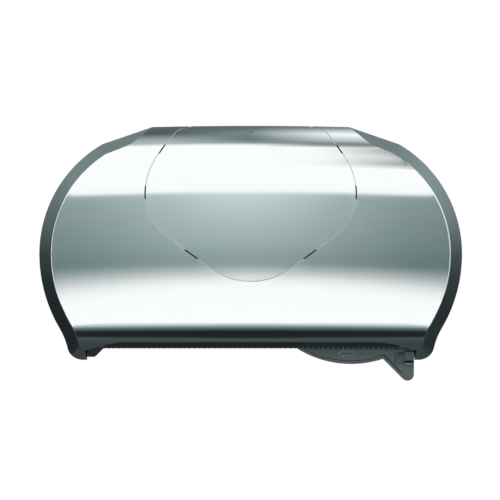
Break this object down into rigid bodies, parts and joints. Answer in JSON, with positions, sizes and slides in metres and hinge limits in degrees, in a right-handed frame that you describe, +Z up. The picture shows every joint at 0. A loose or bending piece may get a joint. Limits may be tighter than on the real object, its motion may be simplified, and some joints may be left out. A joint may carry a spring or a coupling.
{
  "type": "toilet paper dispenser",
  "caption": "Wall-hung toilet paper dispenser for side-by-side jumbo rolls: bright hinged cover, spinning hubs, toothed tear bar, key lock and a sliding selector door.",
  "frame": {"origin": "on the wall plane, midway between the two roll axles and level with them", "axes": "+X to the right of a person facing the dispenser, +Y into the wall, +Z up"},
  "size_m": [0.489, 0.15, 0.2927],
  "materials": {
    "cover": "bright metallised ABS with a brushed-steel look",
    "chassis": "moulded dark grey ABS, fine texture",
    "hub": "moulded grey acetal, satin",
    "axle": "turned steel",
    "washer": "natural acetal",
    "door": "moulded dark grey, low sheen",
    "latch": "moulded grey acetal, low sheen",
    "bumper": "black rubber",
    "steel": "stamped stainless",
    "fixings": "zinc plated",
    "lock": "plated zinc casting"
  },
  "bodies": {
    "chassis": {"back_plate": "chassis", "left_cheek": "chassis", "right_cheek": "chassis", "track_rail": "chassis", "tear_bar": "steel", "tear_bar_rivets": "fixings", "rail_screws": "fixings", "cheek_screws": "fixings", "left_hinge_pin": "steel", "right_hinge_pin": "steel", "left_axle": "axle", "right_axle": "axle", "left_thrust_washer": "washer", "right_thrust_washer": "washer", "left_axle_cap": "washer", "right_axle_cap": "washer", "lock_strike": "steel", "strike_screws": "fixings", "door_bumpers": "bumper"},
    "left_roll_hub": {"left_hub": "hub", "left_hub_flange": "hub"},
    "right_roll_hub": {"right_hub": "hub", "right_hub_flange": "hub"},
    "cover": {"front_cover": "cover", "lock_body": "lock", "lock_nut": "lock"},
    "lock": {"lock_plug": "lock", "lock_cam": "lock", "cam_screw": "fixings"},
    "door": {"roll_door": "door", "door_runners": "latch"},
    "latch": {"door_latch": "latch"}
  },
  "joints": [
    {"name": "cover_hinge", "type": "hinge", "parent": "chassis", "child": "cover", "pos_m": [0, -0.014, -0.101], "axis": [1, 0, 0], "range_deg": [0, 100]},
    {"name": "left_hub_spin", "type": "hinge", "parent": "chassis", "child": "left_roll_hub", "pos_m": [-0.1145, -0.05, 0], "axis": [0, 1, 0], "continuous": true},
    {"name": "right_hub_spin", "type": "hinge", "parent": "chassis", "child": "right_roll_hub", "pos_m": [0.1145, -0.05, 0], "axis": [0, 1, 0], "continuous": true},
    {"name": "lock_turn", "type": "hinge", "parent": "cover", "child": "lock", "pos_m": [0, -0.045, 0.13], "axis": [0, 0, -1], "range_deg": [0, 90]},
    {"name": "door_slide", "type": "slide", "parent": "chassis", "child": "door", "axis": [-1, 0, 0], "range_m": [0, 0.229]},
    {"name": "latch_flex", "type": "hinge", "parent": "door", "child": "latch", "pos_m": [0.165, -0.1075, -0.109], "axis": [0, 0, 1], "range_deg": [0, 8], "stiffness_Nm_per_rad": 0.05}
  ]
}
